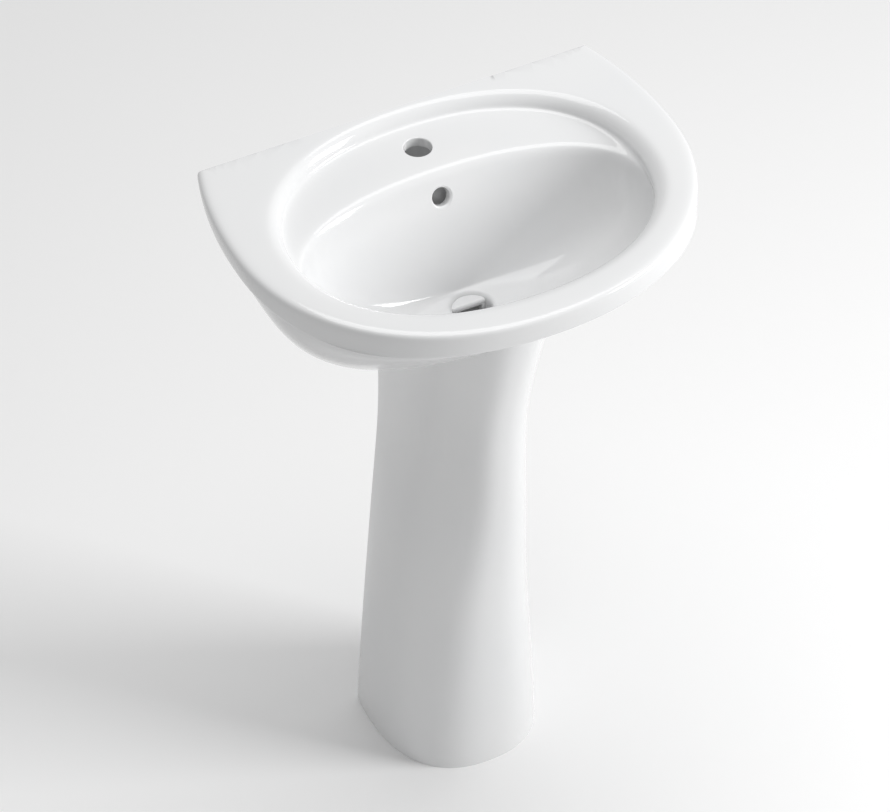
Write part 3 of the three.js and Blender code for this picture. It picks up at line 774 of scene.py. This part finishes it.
COLLAR_END = -CHINA - CLEARANCE
WASHER_END = COLLAR_END - 3 - CLEARANCE
NUT_END = WASHER_END - 2 - CLEARANCE
NUT_THICKNESS, NUT_ACROSS_FLATS = 8, 17
white_nylon = moulded_nylon("moulded_white_nylon", "#d3d3cd", "#e2e2dc")
hole = STUD_RADIUS + CLEARANCE
sleeve = turned("sleeve", [
    (hole, COLLAR_END - 2.6), (hole + 0.4, COLLAR_END - 3), (13.2, COLLAR_END - 3), (13.8, COLLAR_END - 2.7),
    (14, COLLAR_END - 2), (14, COLLAR_END - 0.3), (13.7, COLLAR_END), (8.3, COLLAR_END), (8.3, -1.6),
    (7.9, -1), (hole, -1), (hole, COLLAR_END - 2.6),
])
fit_both_sides(sleeve, "wall_sleeve", "white_nylon", white_nylon)

washer = turned("washer", ring_profile(hole, 12, WASHER_END - 2, WASHER_END, 0.5))
fit_both_sides(washer, "wall_washer", "zinc_steel", zinc)

nut_face, corner = NUT_END - NUT_THICKNESS, NUT_ACROSS_FLATS / math.sqrt(3)
bpy.ops.object.select_all(action="DESELECT")
bpy.ops.mesh.primitive_cylinder_add(
    vertices=6, radius=corner * MM, depth=NUT_THICKNESS * MM,
    location=(0, (NUT_END - NUT_THICKNESS / 2) * MM, 0), rotation=(math.pi / 2, 0, 0),
)
nut = bpy.context.object
nut.name = "nut"
bpy.ops.object.transform_apply(location=True, rotation=True, scale=True)
shape_with(nut, "INTERSECT", turned("chamfer_tool", [
    (0, nut_face - 1.1), (corner - 3.4, nut_face - 1.1), (corner + 0.2, nut_face + 1.1),
    (corner + 0.2, NUT_END - 1.1), (corner - 3.4, NUT_END + 1.1), (0, NUT_END + 1.1),
]))
shape_with(nut, "DIFFERENCE", turned("bore_tool", [
    (0, nut_face - 1), (hole + 1.8, nut_face - 1), (hole, nut_face + 0.8),
    (hole, NUT_END - 0.8), (hole + 1.8, NUT_END + 1), (0, NUT_END + 1),
]))
fit_both_sides(nut, "wall_nut", "zinc_steel", zinc, angle=25)

# ---- Studio ----
# A plain pale floor, a camera at standing height, and soft light that comes mostly from the right.

bpy.ops.object.select_all(action="DESELECT")
bpy.ops.mesh.primitive_plane_add(size=30)
floor = bpy.context.object
floor.name = "floor"
paint, _, paint_shader, _ = material("matt_white_floor_paint")
paint_shader.inputs["Base Color"].default_value = srgb("#fafafa")
paint_shader.inputs["Roughness"].default_value = 0.9
paint_shader.inputs["Specular IOR Level"].default_value = 0.1
floor.data.materials.append(paint)
floor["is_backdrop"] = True

AZIMUTH, ELEVATION = math.radians(-27.2), math.radians(43.1)
FOCUS, DISTANCE = Vector((-0.1786, -0.3014, 0.860)), 5.354
LENS, SENSOR = 202.2, 36
back_off = Vector((
    math.sin(AZIMUTH) * math.cos(ELEVATION), -math.cos(AZIMUTH) * math.cos(ELEVATION), math.sin(ELEVATION),
))
bpy.ops.object.camera_add()
camera = bpy.context.object
camera.rotation_mode = "QUATERNION"
camera.location = FOCUS + back_off * DISTANCE
camera.rotation_quaternion = (-back_off).to_track_quat("-Z", "Y")
camera.data.sensor_width = SENSOR
camera.data.lens = LENS
bpy.context.scene.camera = camera

world = bpy.data.worlds.new("studio")
bpy.context.scene.world = world
world.use_nodes = True
world.node_tree.nodes["Background"].inputs["Color"].default_value = (1, 1, 1, 1)
world.node_tree.nodes["Background"].inputs["Strength"].default_value = 0.42
bpy.context.scene.view_settings.view_transform = "Standard"


def softbox(name, place, size, power):
    """A square soft light that faces the sink's middle."""
    bpy.ops.object.light_add(type="AREA", location=place)
    lamp = bpy.context.object
    lamp.name = name
    lamp.data.size = size
    lamp.data.energy = power
    lamp.rotation_mode = "QUATERNION"
    lamp.rotation_quaternion = (Vector(place) - Vector((0, 0, 0.6))).to_track_quat("Z", "Y")


softbox("key_light", (2.8, -2.0, 2.1), 1.4, 88)
softbox("top_light", (0.3, 0.3, 3.2), 2.0, 32)

low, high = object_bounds()
